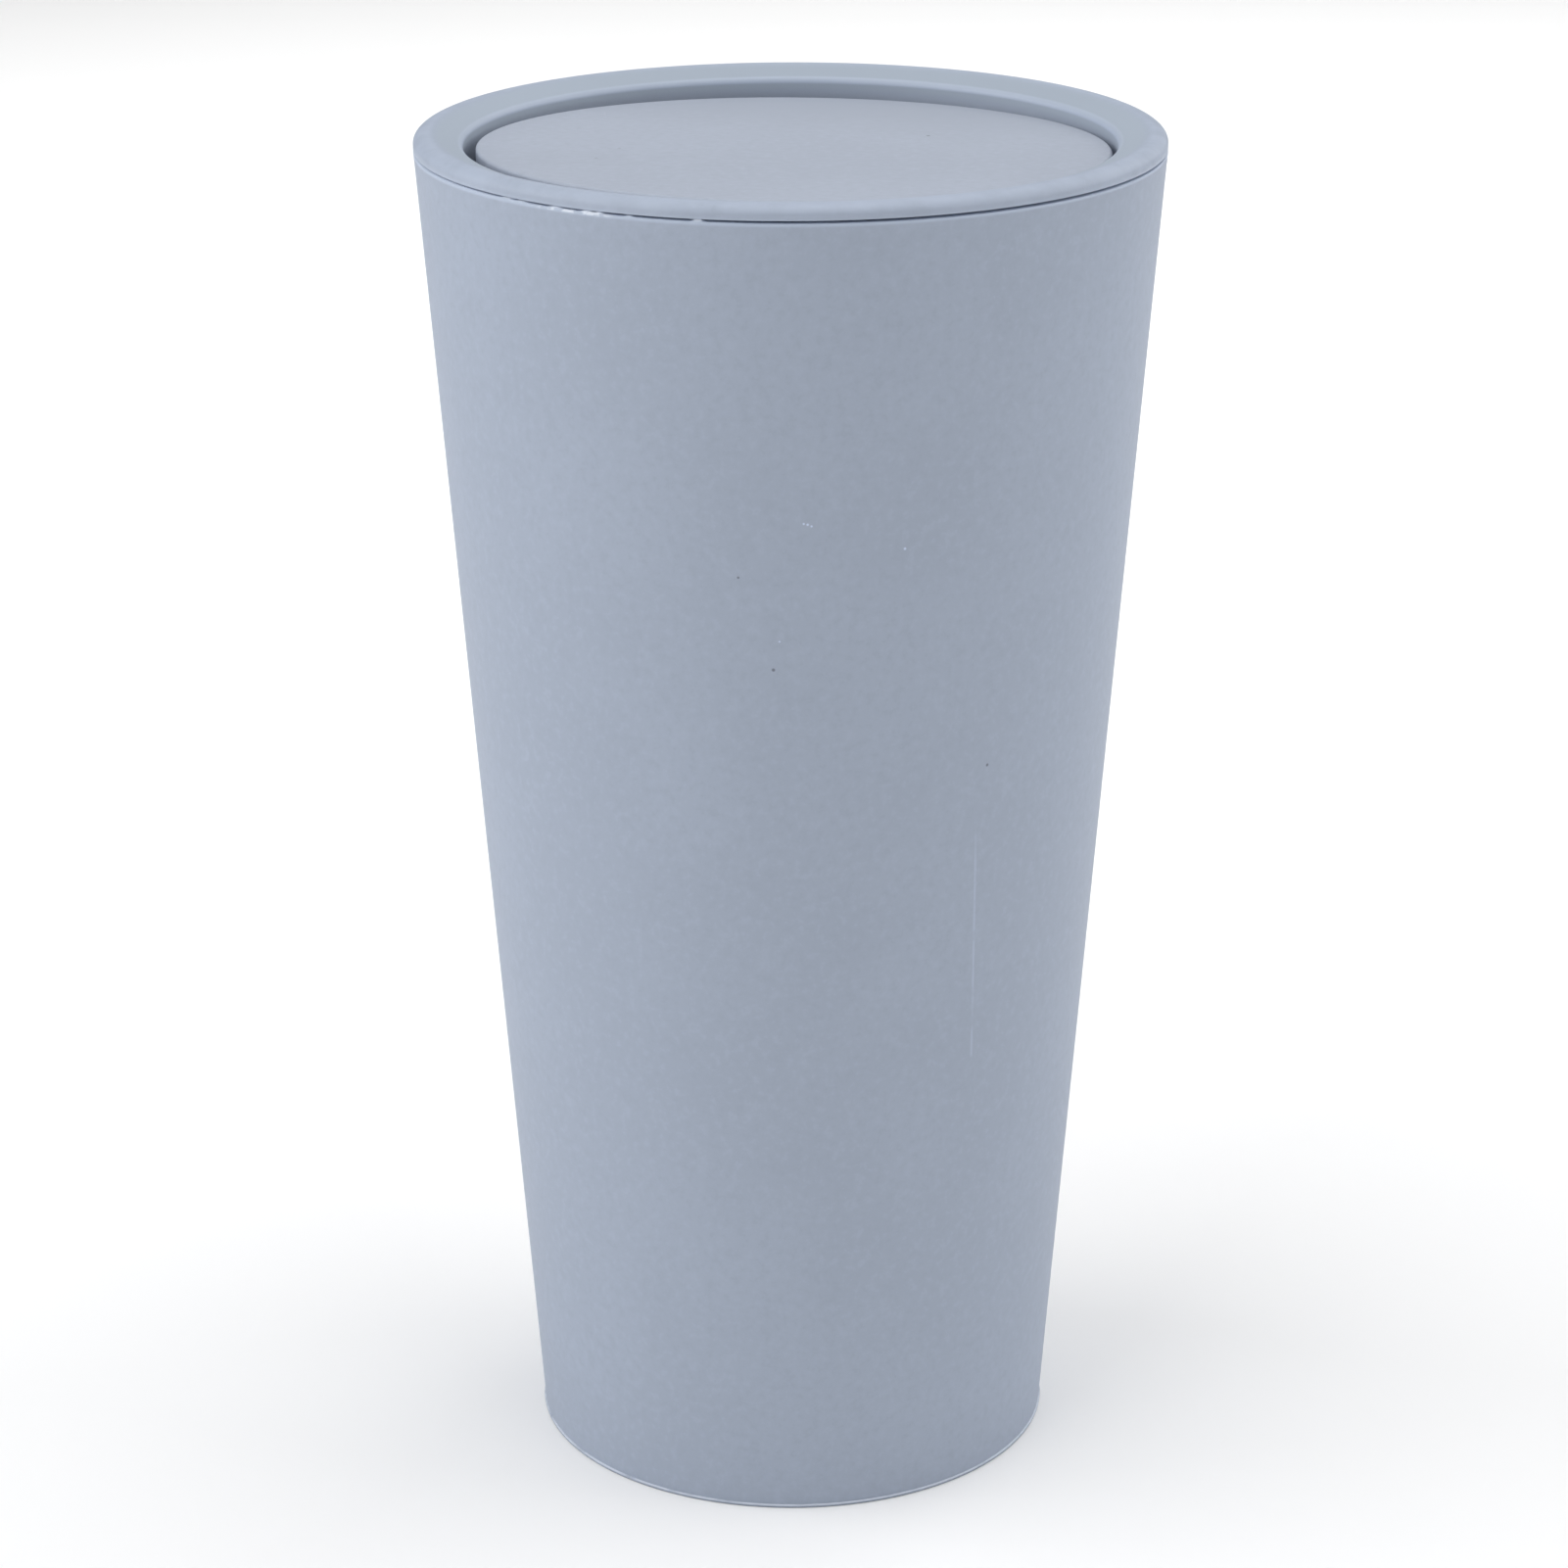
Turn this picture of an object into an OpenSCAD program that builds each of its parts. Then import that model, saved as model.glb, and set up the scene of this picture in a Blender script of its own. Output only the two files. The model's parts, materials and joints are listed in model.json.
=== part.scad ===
// Small round waste bin with a swing lid, for a desk top or a cup holder.
// A tapered tub carries a push-in lid ring, and a weighted flap swings in the ring on two side pins.
// Millimetres. The origin is the centre of the base, +Z is up, and +X runs along the flap's pins.

/* [Tub] */
// Outer diameter at the foot
base_d = 65; // [56:1:72]
// Outer diameter at the rim
rim_d = 90; // [89.6:0.1:91]
// Height of the rim above the base
rim_h = 166; // [110:1:220]
// Thickness of the tub's wall
tub_wall = 1.5; // [1.2:0.1:1.7]
// Thickness of the tub's floor
floor_t = 2; // [1.5:0.1:4]
// Height of the foot rim that the floor stands on
foot_h = 1.5; // [0.8:0.1:3]
// Width of the foot rim
foot_w = 3.2; // [2.5:0.1:6]

/* [Lid ring] */
// Height of the ring's outer edge above the tub's rim
ring_h = 1.95; // [1.75:0.05:2.6]
// Height of the rounded outer edge
ring_round = 1.2; // [0.6:0.1:1.3]
// Distance from the outer edge in to the ring's crest
crest_in = 1.8; // [1:0.1:2.2]
// Diameter of the opening that the flap swings in
opening_d = 78.2; // [77.8:0.1:78.6]
// How far the ring's top falls from its crest to the opening
ring_fall = 1.5; // [0.8:0.1:1.6]
// How far the plug reaches down inside the tub
plug_depth = 12; // [11:0.5:13]
// Wall thickness of the plug and of the throat
lid_wall = 1.1; // [1:0.05:1.2]
// Clearance between the plug and the tub
plug_gap = 0.3; // [0.2:0.05:0.4]
// Height of the shadow line between the tub and the ring
seam_gap = 0.3; // [0.1:0.05:0.5]
// Webs that brace the channel between the plug and the throat
web_count = 12; // [8:2:16]

/* [Flap] */
// Gap between the flap and the opening
flap_gap = 1.1; // [0.95:0.05:1.3]
// Depth of the flap from its top to the bottom of its skirt
flap_h = 9; // [8.5:0.5:9.5]
// Thickness of the flap's top
flap_top_t = 1.6; // [1.2:0.1:1.8]
// Thickness of the flap's skirt
skirt_t = 1.5; // [1.3:0.1:1.8]
// Radius of the flap's rounded edge
flap_round = 0.4; // [0.2:0.1:1.2]
// Angle that the flap hangs at, with its +Y side down
flap_tilt = 1.94; // [0:0.01:4]
// How far the flap has slid along its pins, towards +X
flap_float = 0.4; // [0:0.1:0.4]

/* [Pivots] */
// Depth of the pins' axis below the tub's rim
pivot_drop = 4; // [3.8:0.1:4.2]
// Height of the flap's top above the pins' axis
flap_rise = 3.7; // [3.6:0.1:4]
// Diameter of the steel pins
pin_d = 3; // [2.5:0.1:3]
// Length of each pin
pin_l = 9.5; // [8:0.5:10]
// Outer diameter of the bushes
bush_d = 5; // [4.6:0.1:5]
// Radial clearance between a pin and its bush
run_gap = 0.05; // [0.02:0.01:0.1]
// Angle each way from level at which the flap meets its stops
stop_angle = 81; // [60:1:84]

/* [Balance weight] */
// Length of the weight, along the pins
weight_l = 46; // [36:1:50]
// Width of the weight
weight_w = 16; // [12:1:20]
// Thickness of the weight
weight_t = 2; // [1.5:0.1:2.5]
// How far the weight sits to the +Y side of the pins' axis, which sets the angle that the flap hangs at
weight_offset = 0.13; // [0:0.01:0.3]

/* [Hidden] */
$fn = 180;
eps = 0.01;

base_r = base_d / 2;
rim_r = rim_d / 2;
throat_r = opening_d / 2;
flap_r = throat_r - flap_gap;

// Tub: the wall leans out by this much for each millimetre of height
lean = (rim_r - base_r) / rim_h;
bead_h = 0.45;
bead_w = 0.12;
rim_round = 0.25;
inner_round = 4;
gate_d = 9;
gate_depth = 0.4;
nub_d = 2.4;
nub_h = 0.3;
arc_steps = 6;
floor_top = foot_h + floor_t;

// Lid ring: levels and radii
ring_top = rim_h + ring_h;
plug_low = rim_h - plug_depth;
ring_t = 0.8;
channel_top = rim_h - ring_t;
seat_w = 0.8;
throat_round = 0.8;
grip_h = 9;
grip_rise = 0.2;
grip_half = 0.6;
web_t = 0.9;
web_rise = 1;
crest_r = rim_r - crest_in;
fall_angle = atan(ring_fall / (crest_r - throat_r));
crest_end = atan(tan(fall_angle) * crest_in / ring_round);
slope_r = crest_r - crest_in * sin(crest_end);
slope_z = ring_top - ring_round * (1 - cos(crest_end));
edge_r = throat_r + throat_round;
edge_z = slope_z - (slope_r - edge_r) * tan(fall_angle) - throat_round / cos(fall_angle);

// Pivots, in the flap's own frame: the pins' axis is at height 0
pivot_z = rim_h - pivot_drop;
block_w = 10;
pin_r = pin_d / 2;
pin_cover = 0.3;
pin_chamfer = 0.3;
bush_r = bush_d / 2;
bush_l = 7;
bush_proud = 0.3;
peg_r = 0.8;
peg_swing_r = 3.9;
peg_reach = 0.8;
groove_gap = 0.2;
groove_depth = 1.5;
groove_lead = 1;
groove_end = stop_angle - groove_gap / peg_swing_r * 180 / PI;

// Flap, in its own frame
flap_low = flap_rise - flap_h;
cover_t = 1.2;
cover_seat = 0.4;
cover_gap = 0.05;
cover_top = flap_low + cover_t;
skirt_in_r = flap_r - skirt_t;
skirt_edge = 0.4;
boss_w = 7.2;
boss_l = 6.5;
boss_gap = 0.1;
bite = 0.5;
rib_top = flap_rise - 1;
hold_t = 1.2;
hold_w = 12;
hold_x = 15;
nest_wall = 1;
nest_h = 1.4;
nest_gap = 0.15;
corner = 1;

plastic = "#a3aebf";
plastic_light = "#abb6c6";
plastic_inner = "#98a3b5";
steel = "#b9bcc0";
bush_plastic = "#e6e4dc";

// Points along an oval arc in a section, from angle a to angle b
function oval(cx, cz, rx, rz, a, b) = [
    for (i = [0 : arc_steps])
        let (t = a + (b - a) * i / arc_steps)
        [cx + rx * cos(t), cz + rz * sin(t)]
];

// Points along a round arc in a section, from angle a to angle b
function arc(cx, cz, r, a, b) = oval(cx, cz, r, r, a, b);

// Radius of the tub's outside at height z
function tub_r(z) = base_r + lean * z;

// Radius of the plug's outside at height z
function plug_r(z) = tub_r(z) - tub_wall - plug_gap;

// Turns a shape made along +Z to lie along +X, or along -X when side is -1
module along_x(side) {
    rotate([0, side * 90, 0]) children();
}

// Places a shape made in the flap's own frame
module hung() {
    translate([flap_float, 0, pivot_z]) rotate([-flap_tilt, 0, 0]) children();
}

module tub() {
    inside_r = tub_r(floor_top + inner_round) - tub_wall;
    section = concat(
        [[0, foot_h], [base_r - foot_w - foot_h / 2, foot_h], [base_r - foot_w, 0]],
        [[base_r - bead_w, 0], [base_r + bead_w, bead_h / 2], [base_r + lean * bead_h, bead_h]],
        arc(rim_r - rim_round, rim_h - rim_round, rim_round, 0, 90),
        [[rim_r - tub_wall, rim_h]],
        arc(inside_r - inner_round, floor_top + inner_round, inner_round, 0, -90),
        [[0, floor_top]]
    );
    color(plastic) difference() {
        rotate_extrude() polygon(section);
        difference() {
            translate([0, 0, foot_h - eps]) cylinder(d = gate_d, h = gate_depth + eps);
            translate([0, 0, foot_h + gate_depth - nub_h]) cylinder(d = nub_d, h = nub_h + eps);
        }
    }
}

// Section of the ring, from the throat's lower edge round the outside and back over the top
function ring_section() = concat(
    [[throat_r, plug_low], [throat_r + lid_wall, plug_low], [throat_r + lid_wall, channel_top]],
    [[plug_r(channel_top) - lid_wall, channel_top], [plug_r(plug_low) - lid_wall, plug_low]],
    [[plug_r(plug_low), plug_low]],
    [for (k = [-1, -0.5, 0.5, 1]) grip_point(k)],
    [[plug_r(rim_h), rim_h], [rim_r - seat_w, rim_h], [rim_r - seat_w, rim_h + seam_gap]],
    [[rim_r, rim_h + seam_gap]],
    oval(crest_r, ring_top - ring_round, crest_in, ring_round, 0, 90 + crest_end),
    arc(edge_r, edge_z, throat_round, 90 + fall_angle, 180)
);

// Corners of the low bead that grips the tub, at k half-heights from its middle
function grip_point(k) =
    let (z = rim_h - grip_h + k * grip_half, rise = abs(k) < 1 ? grip_rise : 0) [plug_r(z) + rise, z];

// The ring's channel, with its side faces let into the walls on each side
module channel_fill(low) {
    half_wall = lid_wall / 2;
    rotate_extrude() polygon([
        [throat_r + half_wall, low],
        [plug_r(low) - half_wall, low],
        [plug_r(channel_top) - half_wall, channel_top + half_wall],
        [throat_r + half_wall, channel_top + half_wall]
    ]);
}

// Hole for the +X pin and the curved groove that the flap's stop peg runs in
module pivot_cut() {
    groove_r = peg_r + groove_gap;
    cut_l = groove_depth + groove_lead;
    translate([0, 0, pivot_z]) along_x(1) {
        cylinder(r = pin_r, h = rim_r);
        translate([0, 0, throat_r - groove_lead]) {
            rotate([0, 0, -groove_end])
                rotate_extrude(angle = 2 * groove_end)
                translate([peg_swing_r - groove_r, 0])
                square([2 * groove_r, cut_l]);
            for (a = [-groove_end, groove_end])
                rotate([0, 0, a])
                translate([peg_swing_r, 0, 0])
                cylinder(r = groove_r, h = cut_l);
        }
    }
}

module lid_ring() {
    color(plastic_light) difference() {
        union() {
            rotate_extrude() polygon(ring_section());
            intersection() {
                channel_fill(plug_low);
                translate([-rim_r, -block_w / 2, plug_low])
                    cube([rim_d, block_w, plug_depth]);
            }
            intersection() {
                channel_fill(plug_low + web_rise);
                for (i = [0 : web_count / 2 - 1])
                    rotate([0, 0, (i + 0.5) * 360 / web_count])
                    translate([-rim_r, -web_t / 2, plug_low])
                    cube([rim_d, web_t, plug_depth]);
            }
        }
        pivot_cut();
        mirror([1, 0, 0]) pivot_cut();
    }
}

// A pin with bevelled ends. Its outer end stops just inside the plug's wall.
module pivot_pin(side) {
    pin_end = plug_r(pivot_z) - pin_cover;
    color(steel)
        translate([0, 0, pivot_z])
        along_x(side)
        translate([0, 0, pin_end - pin_l])
        rotate_extrude() polygon([
            [0, 0], [pin_r - pin_chamfer, 0], [pin_r, pin_chamfer],
            [pin_r, pin_l - pin_chamfer], [pin_r - pin_chamfer, pin_l], [0, pin_l]
        ]);
}

module pivot_pin_left() { pivot_pin(-1); }
module pivot_pin_right() { pivot_pin(1); }

module pivot_bush(side) {
    color(bush_plastic)
        hung()
        along_x(side)
        translate([0, 0, flap_r + bush_proud - bush_l])
        rotate_extrude() polygon([
            [pin_r + run_gap, 0], [bush_r - pin_chamfer, 0], [bush_r, pin_chamfer],
            [bush_r, bush_l], [pin_r + run_gap, bush_l]
        ]);
}

module pivot_bush_left() { pivot_bush(-1); }
module pivot_bush_right() { pivot_bush(1); }

module flap_shell() {
    section = concat(
        [[0, flap_rise]],
        arc(flap_r - flap_round, flap_rise - flap_round, flap_round, 90, 0),
        [[flap_r, flap_low + skirt_edge], [flap_r - skirt_edge, flap_low]],
        [[skirt_in_r + cover_seat, flap_low], [skirt_in_r + cover_seat, cover_top]],
        [[skirt_in_r, cover_top], [skirt_in_r, flap_rise - flap_top_t], [0, flap_rise - flap_top_t]]
    );
    boss_low = cover_top + boss_gap;
    hold_low = cover_top + weight_t;
    peg_start = skirt_in_r + bite;
    color(plastic_light) hung() difference() {
        union() {
            rotate_extrude() polygon(section);
            for (side = [-1, 1]) {
                translate([side * (skirt_in_r + (bite - boss_l) / 2), 0, (boss_low + rib_top) / 2])
                    cube([boss_l + bite, boss_w, rib_top - boss_low], center = true);
                translate([0, 0, -peg_swing_r])
                    along_x(side)
                    translate([0, 0, peg_start])
                    cylinder(r = peg_r, h = throat_r + peg_reach - peg_start);
                translate([side * hold_x, 0, (hold_low + rib_top) / 2])
                    cube([hold_t, hold_w, rib_top - hold_low], center = true);
            }
        }
        for (side = [-1, 1])
            along_x(side)
            translate([0, 0, skirt_in_r - boss_l])
            cylinder(r = bush_r, h = rim_r);
    }
}

module flap_underside() {
    inner_l = weight_l + 2 * nest_gap;
    inner_w = weight_w + 2 * nest_gap;
    nest_l = inner_l + 2 * nest_wall;
    nest_w = inner_w + 2 * nest_wall;
    color(plastic_inner) hung() {
        translate([0, 0, flap_low])
            cylinder(r = skirt_in_r + cover_seat - cover_gap, h = cover_t);
        translate([0, weight_offset, cover_top]) difference() {
            translate([-nest_l / 2, -nest_w / 2, -eps])
                cube([nest_l, nest_w, nest_h]);
            translate([-inner_l / 2, -inner_w / 2, -nest_h])
                cube([inner_l, inner_w, 3 * nest_h]);
        }
    }
}

module balance_weight() {
    x = weight_l / 2;
    y = weight_w / 2;
    color(steel) hung() translate([0, weight_offset, cover_top])
        linear_extrude(weight_t) polygon([
            [corner - x, -y], [x - corner, -y], [x, corner - y], [x, y - corner],
            [x - corner, y], [corner - x, y], [-x, y - corner], [-x, corner - y]
        ]);
}

tub();
lid_ring();
pivot_pin_left();
pivot_pin_right();
flap_shell();
flap_underside();
balance_weight();
pivot_bush_left();
pivot_bush_right();
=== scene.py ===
"""A small round swing-lid waste bin: the mouldings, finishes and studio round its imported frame."""
import json
import math
import random

import bmesh
import bpy
from mathutils import Matrix, Vector, noise


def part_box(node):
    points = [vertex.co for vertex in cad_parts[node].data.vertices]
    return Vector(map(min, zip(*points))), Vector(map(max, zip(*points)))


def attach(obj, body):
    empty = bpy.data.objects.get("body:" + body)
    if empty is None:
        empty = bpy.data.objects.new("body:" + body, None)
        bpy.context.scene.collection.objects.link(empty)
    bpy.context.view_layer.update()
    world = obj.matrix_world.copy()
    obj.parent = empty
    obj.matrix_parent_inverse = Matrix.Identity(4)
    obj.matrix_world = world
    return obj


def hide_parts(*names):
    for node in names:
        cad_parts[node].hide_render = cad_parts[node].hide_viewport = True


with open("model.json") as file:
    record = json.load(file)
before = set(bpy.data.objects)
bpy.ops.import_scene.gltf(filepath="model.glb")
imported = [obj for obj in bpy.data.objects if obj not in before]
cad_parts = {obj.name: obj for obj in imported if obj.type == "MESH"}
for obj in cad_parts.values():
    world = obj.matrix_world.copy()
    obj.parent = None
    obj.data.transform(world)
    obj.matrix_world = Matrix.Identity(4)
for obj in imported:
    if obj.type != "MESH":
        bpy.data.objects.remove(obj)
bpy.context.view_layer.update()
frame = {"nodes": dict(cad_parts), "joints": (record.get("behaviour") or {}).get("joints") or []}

MM = 0.001

# ---------------------------------------------------------------- sizes, in millimetres
# From the frame: the rim, the ring, the plug and the pins' axis.
RIM_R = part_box("tub")[1][0] / MM
RIM_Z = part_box("tub")[1][2] / MM
RING_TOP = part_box("lid_ring")[1][2] / MM
PLUG_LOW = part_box("lid_ring")[0][2] / MM
PIN_R = (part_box("pivot_pin_right")[1][2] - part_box("pivot_pin_right")[0][2]) / 2 / MM
BUSH_R = (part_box("pivot_bush_right")[1][2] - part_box("pivot_bush_right")[0][2]) / 2 / MM
SWING = next(j for j in frame["joints"] if j["name"] == "flap_swing")
PIVOT_Z = SWING["pos_m"][2] / MM

# Tub
BASE_R = 32.5
TUB_WALL = 1.5
FLOOR_TOP = 3.5
FOOT_H = 1.5
FOOT_W = 3.2
LEAN = (RIM_R - BASE_R) / RIM_Z
RIM_ROUND = 0.25
INNER_ROUND = 4.0
BEAD_H = 0.45

# Lid ring
THROAT_R = 39.1
LID_WALL = 1.1
PLUG_GAP = 0.3
RING_ROUND = 1.2
CREST_IN = 1.8
CREST_R = RIM_R - CREST_IN
RING_FALL = 1.5
THROAT_ROUND = 0.8
CHANNEL_TOP = RIM_Z - 0.8
SEAT_W = 0.8
GRIP_Z = RIM_Z - 9
GRIP_RISE = 0.2
WEBS = 12
WEB = (2.2, 0.9, 9.5)
WEB_LOW = PLUG_LOW + 1.6
BLOCK = (2.0, 10, 11.1)
BLOCK_LOW = PLUG_LOW + 0.3
STOP_ANGLE = math.radians(81)
GROOVE_GAP = 0.2
GROOVE_DEPTH = 1.5

# Flap, measured in its own level frame with the pins' axis at height 0
FLAP_TILT = math.radians(1.94)
FLAP_SIDE = 0.4
FLAP_R = 38.0
FLAP_TOP = 3.7
FLAP_LOW = -5.3
FLAP_SKIN = 1.6
SKIRT_T = 1.5
FLAP_ROUND = 0.4
COVER_T = 1.2
COVER_SEAT = 0.4
PEG_R = 0.8
PEG_SWING_R = 3.9
PEG_REACH = 0.8
BOSS = (7.0, 7.2, 6.7)
BOSS_OUT = 33.5
BOSS_UP = -0.65
HOLD = (1.2, 12, 4.8)
HOLD_OUT = 15
HOLD_UP = 0.3
EJECTOR_R = 2.2
EJECTOR_DEPTH = 0.12
EJECTOR_OUT = 18
WEIGHT_L = (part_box("balance_weight")[1][0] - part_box("balance_weight")[0][0]) / MM
WEIGHT_W = 16.0
WEIGHT_SHIFT = 0.13
NEST_WALL = 1.0
NEST_GAP = 0.15
NEST_H = 1.4

HUNG = Matrix.Translation((FLAP_SIDE * MM, 0, PIVOT_Z * MM)) @ Matrix.Rotation(-FLAP_TILT, 4, "X")


# ---------------------------------------------------------------- shader graphs
class Wire:
    """An output socket that adds Math nodes when it is used in an expression."""

    def __init__(self, graph, socket):
        self.graph = graph
        self.socket = socket

    def math(self, operation, *values):
        return self.graph.add("ShaderNodeMath", dict(enumerate(values)), operation=operation)

    def __add__(self, other):
        return self.math("ADD", self, other)

    def __sub__(self, other):
        return self.math("SUBTRACT", self, other)

    def __mul__(self, other):
        return self.math("MULTIPLY", self, other)

    def __rsub__(self, other):
        return self.math("SUBTRACT", other, self)

    __radd__ = __add__
    __rmul__ = __mul__

    def other(self, name):
        """Another output of the same node."""
        return Wire(self.graph, self.socket.node.outputs[name])

    def size(self):
        return self.math("ABSOLUTE", self)

    def root(self):
        return self.math("SQRT", self)

    def rise(self, low, high):
        """0 below low, 1 above high, smooth between. With low above high it falls."""
        falls = low > high
        span = {"From Min": min(low, high), "From Max": max(low, high)}
        ends = {"To Min": float(falls), "To Max": float(not falls)}
        inputs = {"Value": self, **span, **ends}
        return self.graph.add("ShaderNodeMapRange", inputs, interpolation_type="SMOOTHSTEP")


class Graph:
    """A material's node tree. add() makes every node."""

    def __init__(self, name):
        self.material = bpy.data.materials.new(name)
        self.material.use_nodes = True
        self.tree = self.material.node_tree
        self.tree.nodes.clear()

    def add(self, kind, inputs=None, out=0, **settings):
        """A new node: its settings first, then the values or links of its sockets."""
        node = self.tree.nodes.new(kind)
        for key, value in settings.items():
            setattr(node, key, value)
        for key, value in (inputs or {}).items():
            if isinstance(value, Wire):
                self.tree.links.new(value.socket, node.inputs[key])
            else:
                node.inputs[key].default_value = value
        return Wire(self, node.outputs[out]) if node.outputs else None

    def object_place(self):
        return self.add("ShaderNodeTexCoord", out="Object")

    def parts(self, vector):
        x = self.add("ShaderNodeSeparateXYZ", {0: vector}, out="X")
        return x, x.other("Y"), x.other("Z")

    def noise(self, place, scale, detail=2.0, roughness=0.5):
        inputs = {"Vector": place, "Scale": scale, "Detail": detail, "Roughness": roughness}
        return self.add("ShaderNodeTexNoise", inputs, out="Fac")

    def over(self, under, colour, factor):
        """A plain colour laid over another colour, or over one made by other nodes."""
        below = under if isinstance(under, Wire) else (*under, 1)
        inputs = {0: factor, 6: below, 7: (*colour, 1)}
        return self.add("ShaderNodeMix", inputs, out=2, data_type="RGBA")

    def distance(self, place, centre):
        return self.add("ShaderNodeVectorMath", {0: place, 1: centre}, out="Value", operation="DISTANCE")

    def finish(self, colour, roughness, height, depth, metallic=0.0, ior=1.49):
        bump = self.add("ShaderNodeBump", {"Height": height, "Distance": depth, "Strength": 1.0})
        inputs = {
            "Base Color": colour,
            "Roughness": roughness,
            "Metallic": metallic,
            "IOR": ior,
            "Normal": bump,
        }
        shader = self.add("ShaderNodeBsdfPrincipled", inputs)
        self.add("ShaderNodeOutputMaterial", {"Surface": shader})
        return self.material


def shade(colour, by):
    """The colour, lighter or darker by a factor."""
    return tuple(min(1.0, c * by) for c in colour)


def moulded_plastic(name, tint, marks=None):
    """Matte polypropylene from a spark-eroded mould: fine grain, faint flow clouds and small nicks."""
    g = Graph(name)
    place = g.object_place()
    clouds = g.noise(place, 45, 3)
    mottle = g.noise(place, 900, 3, 0.6)
    grain = g.noise(place, 3600, 3, 0.6)
    pores = g.noise(place, 9000, 1)
    cloudy = g.over(shade(tint, 0.98), shade(tint, 1.015), clouds.rise(0.35, 0.65))
    speckled = g.over(cloudy, shade(tint, 0.95), mottle.rise(0.5, 0.3) * 0.8)
    flecked = g.over(speckled, shade(tint, 1.06), mottle.rise(0.5, 0.7) * 0.8)
    colour = g.over(flecked, shade(tint, 1.12), grain.rise(0.6, 0.8) * 0.5)
    roughness = 0.5 + clouds * 0.08 + grain * 0.08
    if marks:
        colour, roughness = marks(g, place, colour, roughness)
    return g.finish(colour, roughness, grain * 0.75 + pores * 0.25, 0.018 * MM)


def drawn_steel(name, tint):
    """Bright drawn steel with fine lines round the wire and a little handling haze."""
    g = Graph(name)
    place = g.object_place()
    along, _, _ = g.parts(place)
    lines = g.noise(g.add("ShaderNodeCombineXYZ", {0: along}), 9000, 2)
    haze = g.noise(place, 900, 3)
    colour = g.over(shade(tint, 0.82), tint, haze.rise(0.3, 0.7))
    roughness = 0.24 + lines * 0.12 + haze * 0.1
    return g.finish(colour, roughness, lines, 0.004 * MM, metallic=1.0)


def sheared_steel(name, tint):
    """Mild steel strip: rolled grain along its length and a dull oxide film in patches."""
    g = Graph(name)
    place = g.object_place()
    along, across, up = g.parts(place)
    grain = g.noise(g.add("ShaderNodeCombineXYZ", {0: along * 0.06, 1: across, 2: up}), 3500, 3)
    film = g.noise(place, 260, 4)
    colour = g.over(shade(tint, 0.62), tint, film.rise(0.35, 0.6))
    roughness = 0.36 + film * 0.2 + grain * 0.1
    return g.finish(colour, roughness, grain, 0.01 * MM, metallic=1.0)


def satin_acetal(name, tint):
    """Natural acetal, turned smooth, with a faint yellowing."""
    g = Graph(name)
    place = g.object_place()
    clouds = g.noise(place, 500, 2)
    tool = g.noise(place, 6000, 2)
    colour = g.over(shade(tint, 0.93), tint, clouds.rise(0.3, 0.7))
    return g.finish(colour, 0.34 + tool * 0.12, tool, 0.006 * MM)


BLUE_GREY = (0.341, 0.390, 0.482)
FLAP_GREY = (0.359, 0.398, 0.476)
RING_TOP_GREY = (0.343, 0.396, 0.470)
# Pale plastic where flash was trimmed or knocked, also used as a painted highlight along the rounded edge
# at the foot
WHITENED_AND_HIGHLIGHT = (0.66, 0.71, 0.80)
# The tub's radius at the height of its scratches, which turns an angle into a length
SCRATCH_R = 38


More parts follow.
